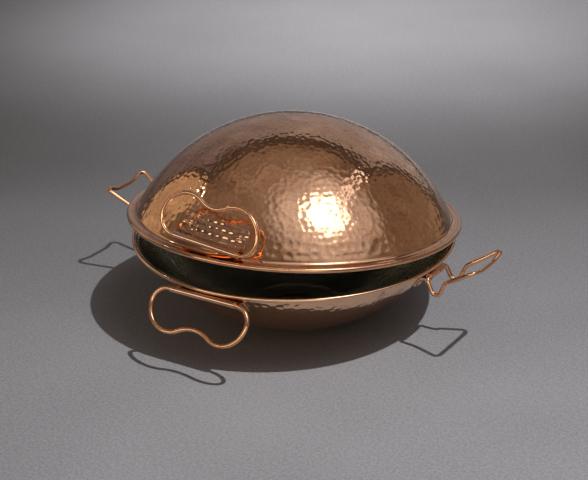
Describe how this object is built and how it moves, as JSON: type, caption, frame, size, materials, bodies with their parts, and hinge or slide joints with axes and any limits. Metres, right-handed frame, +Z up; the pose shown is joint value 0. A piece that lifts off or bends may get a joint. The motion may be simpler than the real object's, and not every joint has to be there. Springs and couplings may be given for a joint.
{
  "type": "hinged lidded pan",
  "caption": "Round hammered copper pan in two hinged halves, a bowl and a domed lid, with side wire latches and folding wire handles.",
  "frame": {"origin": "centre of the bowl's flat underside", "axes": "+Z up, +Y towards the hinge, so the handles face -Y; +X towards the right latch"},
  "size_m": [0.3968, 0.3307, 0.1876],
  "materials": {
    "copper_shell": "hand-hammered and polished outside, dark tinned inside",
    "copper_fittings": "polished sheet copper, lightly hammered",
    "copper_wire": "polished drawn wire",
    "copper_rivets": "polished, hand-set",
    "rim_wire": "plain, hidden inside the rolled rims"
  },
  "bodies": {
    "bowl": {"lower_shell": "copper_shell", "lower_rim_wire": "rim_wire", "lower_handle_plate": "copper_fittings", "lower_handle_rivets": "copper_rivets", "right_latch_plate": "copper_fittings", "right_latch_rivets": "copper_rivets", "left_latch_plate": "copper_fittings", "left_latch_rivets": "copper_rivets", "hinge_lower_leaf": "copper_fittings", "hinge_lower_rivets": "copper_rivets", "hinge_pin": "copper_rivets"},
    "lid": {"lid_shell": "copper_shell", "lid_rim_wire": "rim_wire", "lid_handle_plate": "copper_fittings", "lid_handle_rivets": "copper_rivets", "hinge_upper_leaf": "copper_fittings", "hinge_upper_rivets": "copper_rivets"},
    "lower_handle": {"lower_handle_wire": "copper_wire"},
    "lid_handle": {"lid_handle_wire": "copper_wire"},
    "right_latch": {"right_latch_wire": "copper_wire"},
    "left_latch": {"left_latch_wire": "copper_wire"}
  },
  "joints": [
    {"name": "lid_hinge", "type": "hinge", "parent": "bowl", "child": "lid", "pos_m": [0, 0.1576, 0.0782], "axis": [-1, 0, 0], "range_deg": [-5.25, 168]},
    {"name": "lower_handle_swing", "type": "hinge", "parent": "bowl", "child": "lower_handle", "pos_m": [0, -0.1492, 0.071], "axis": [-1, 0, 0], "range_deg": [-70, 125]},
    {"name": "lid_handle_swing", "type": "hinge", "parent": "lid", "child": "lid_handle", "pos_m": [0, -0.14296, 0.11757], "axis": [0.9976, -0.0388, -0.058], "range_deg": [-20, 165]},
    {"name": "right_latch_swing", "type": "hinge", "parent": "bowl", "child": "right_latch", "pos_m": [0.1479, 0, 0.0698], "axis": [0, -1, 0], "range_deg": [-70, 55]},
    {"name": "left_latch_swing", "type": "hinge", "parent": "bowl", "child": "left_latch", "pos_m": [-0.1459, 0, 0.0698], "axis": [0, 1, 0], "range_deg": [-70, 55]}
  ]
}
